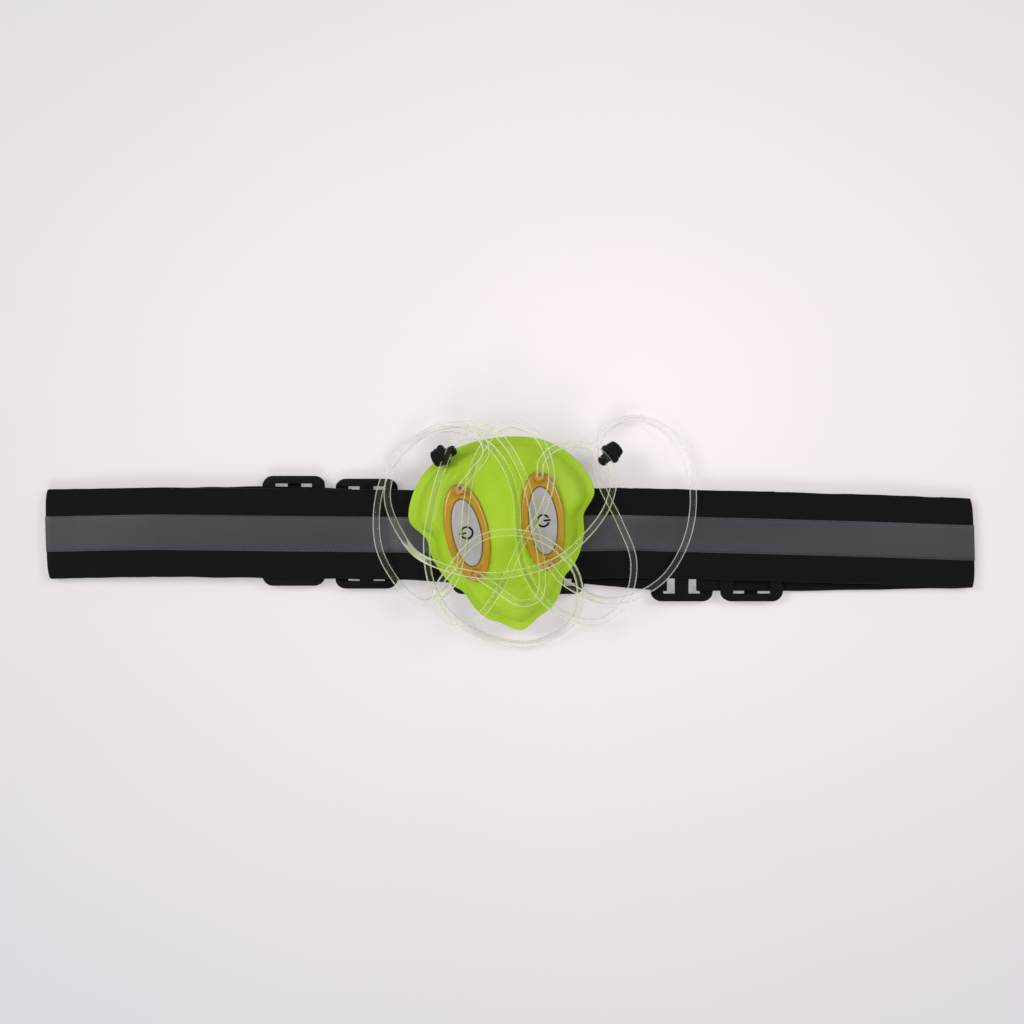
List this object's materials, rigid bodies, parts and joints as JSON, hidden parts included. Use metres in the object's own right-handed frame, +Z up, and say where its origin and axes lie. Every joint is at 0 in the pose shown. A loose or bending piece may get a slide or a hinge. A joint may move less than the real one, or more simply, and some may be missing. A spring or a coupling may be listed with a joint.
{
  "type": "illuminated running belt",
  "caption": "Elastic waist belt lying folded flat, with a reflective band, strap sliders, side-release buckle and a domed shield carrying push-button lamps that feed looping clear light tubes.",
  "frame": {"origin": "centre of the belt's outline without the light tubes, in the plane of the table it lies on", "axes": "+X along the folded belt towards the wearer's left-hand end as laid out, +Y across the webbing towards the shield's upper edge, +Z up out of the table, the way the shield faces"},
  "size_m": [0.5206, 0.1299, 0.0456],
  "materials": {
    "webbing": "black woven elastic webbing",
    "reflective_tape": "grey retroreflective tape, fine grain",
    "nylon": "black moulded nylon",
    "lime_shell": "satin lime green moulding",
    "back_cover": "black moulding",
    "screw": "plain steel",
    "amber_ring": "amber tinted translucent moulding",
    "grey_button": "light grey soft cap",
    "board": "green solder mask",
    "switch": "black",
    "cell": "nickel plated",
    "contact": "sprung strip",
    "led": "clear epoxy",
    "light_tube": "clear soft plastic tube",
    "clip_rubber": "black"
  },
  "bodies": {
    "belt": {"elastic_belt": "webbing", "reflective_tape": "reflective_tape", "buckle_strap_left": "webbing", "buckle_strap_right": "webbing", "loop_left": "nylon", "loop_right": "nylon", "buckle_female": "nylon", "buckle_male": "nylon", "front_shell": "lime_shell", "back_cover": "back_cover", "belt_clamp": "back_cover", "shell_screw_1": "screw", "shell_screw_2": "screw", "shell_screw_3": "screw", "shell_screw_4": "screw", "clamp_screw_1": "screw", "clamp_screw_2": "screw", "clamp_screw_3": "screw", "clamp_screw_4": "screw", "light_ring_left": "amber_ring", "circuit_board_left": "board", "switch_left": "switch", "coin_cell_left": "cell", "battery_contact_left": "contact", "light_ring_right": "amber_ring", "circuit_board_right": "board", "switch_right": "switch", "coin_cell_right": "cell", "battery_contact_right": "contact", "tube_collar_right_upper": "amber_ring", "led_right_upper": "led", "tube_collar_right_lower": "amber_ring", "led_right_lower": "led", "tube_collar_left_upper": "amber_ring", "led_left_upper": "led", "tube_collar_left_lower": "amber_ring", "led_left_lower": "led", "light_tube_right": "light_tube", "light_tube_left": "light_tube", "tube_clip_right": "clip_rubber", "tube_clip_left": "clip_rubber"},
    "slider_left": {"slider_left": "nylon"},
    "slider_right": {"slider_right": "nylon"},
    "prong_upper": {"prong_upper": "nylon"},
    "prong_lower": {"prong_lower": "nylon"},
    "button_left": {"button_left": "grey_button"},
    "button_right": {"button_right": "grey_button"}
  },
  "joints": [
    {"name": "button_left_press", "type": "slide", "parent": "belt", "child": "button_left", "axis": [0, 0, -1], "range_m": [0, 0.0008], "stiffness_N_per_m": 500, "springref_m": -0.0004},
    {"name": "button_right_press", "type": "slide", "parent": "belt", "child": "button_right", "axis": [0, 0, -1], "range_m": [0, 0.0008], "stiffness_N_per_m": 500, "springref_m": -0.0004},
    {"name": "slider_left_adjust", "type": "slide", "parent": "belt", "child": "slider_left", "axis": [1, 0, 0], "range_m": [-0.055, 0]},
    {"name": "slider_right_adjust", "type": "slide", "parent": "belt", "child": "slider_right", "axis": [1, 0, 0], "range_m": [0, 0.055]},
    {"name": "prong_upper_squeeze", "type": "hinge", "parent": "belt", "child": "prong_upper", "pos_m": [0.0092, 0.016, 0.005], "axis": [0, 0, 1], "range_deg": [0, 16], "stiffness_Nm_per_rad": 0.3, "springref_deg": -2.86},
    {"name": "prong_lower_squeeze", "type": "hinge", "parent": "belt", "child": "prong_lower", "pos_m": [0.0092, -0.022, 0.005], "axis": [0, 0, 1], "range_deg": [-16, 0], "stiffness_Nm_per_rad": 0.3, "springref_deg": 2.86}
  ],
  "couplings": [
    {"joint": "prong_lower_squeeze", "follows": "prong_upper_squeeze", "ratio": -1}
  ]
}
